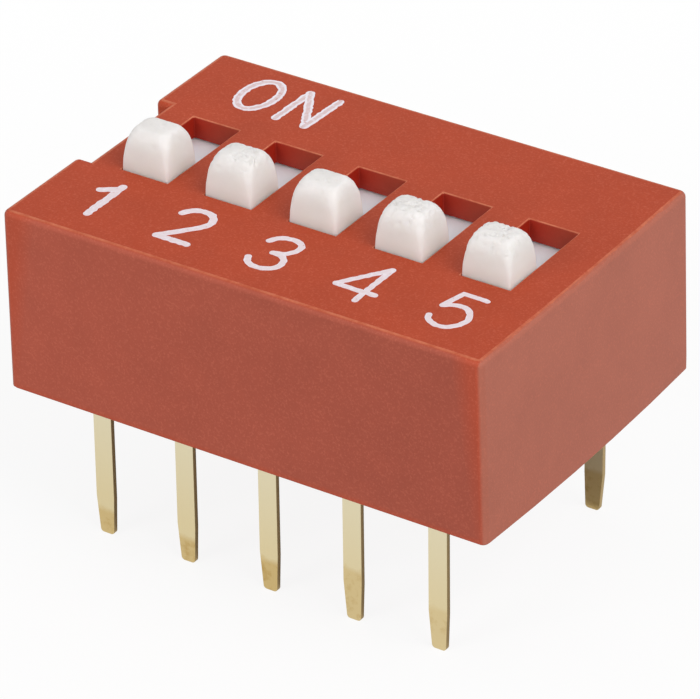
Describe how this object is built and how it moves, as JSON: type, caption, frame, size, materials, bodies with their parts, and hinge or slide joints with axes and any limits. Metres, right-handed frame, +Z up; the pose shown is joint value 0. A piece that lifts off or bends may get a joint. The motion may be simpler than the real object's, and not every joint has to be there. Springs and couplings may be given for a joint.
{
  "type": "dip switch",
  "caption": "Through-hole slide DIP switch: red box with a row of white slide keys in slots and two rows of flat gold-plated pins below.",
  "frame": {"origin": "centre of the pin grid on the board's surface, where the cover's rim rests", "axes": "+X from key 1 to key 5, +Y from OFF to ON, +Z up out of the board"},
  "size_m": [0.0144, 0.01, 0.0107],
  "materials": {
    "red_plastic": "matte moulded",
    "white_plastic": "satin moulded",
    "plated_metal": "gold plated, satin",
    "contact_metal": "gold plated, bright",
    "white_ink": "printed ink"
  },
  "bodies": {
    "housing": {"cover": "red_plastic", "base": "red_plastic", "terminal_front_1": "plated_metal", "terminal_front_2": "plated_metal", "terminal_front_3": "plated_metal", "terminal_front_4": "plated_metal", "terminal_front_5": "plated_metal", "terminal_back_1": "plated_metal", "terminal_back_2": "plated_metal", "terminal_back_3": "plated_metal", "terminal_back_4": "plated_metal", "terminal_back_5": "plated_metal"},
    "key_1": {"actuator_1": "white_plastic", "contact_1": "contact_metal"},
    "key_2": {"actuator_2": "white_plastic", "contact_2": "contact_metal"},
    "key_3": {"actuator_3": "white_plastic", "contact_3": "contact_metal"},
    "key_4": {"actuator_4": "white_plastic", "contact_4": "contact_metal"},
    "key_5": {"actuator_5": "white_plastic", "contact_5": "contact_metal"}
  },
  "joints": [
    {"name": "key_1_slide", "type": "slide", "parent": "housing", "child": "key_1", "axis": [0, 1, 0], "range_m": [0, 0.00194]},
    {"name": "key_2_slide", "type": "slide", "parent": "housing", "child": "key_2", "axis": [0, 1, 0], "range_m": [0, 0.00194]},
    {"name": "key_3_slide", "type": "slide", "parent": "housing", "child": "key_3", "axis": [0, 1, 0], "range_m": [0, 0.00194]},
    {"name": "key_4_slide", "type": "slide", "parent": "housing", "child": "key_4", "axis": [0, 1, 0], "range_m": [0, 0.00194]},
    {"name": "key_5_slide", "type": "slide", "parent": "housing", "child": "key_5", "axis": [0, 1, 0], "range_m": [0, 0.00194]}
  ]
}
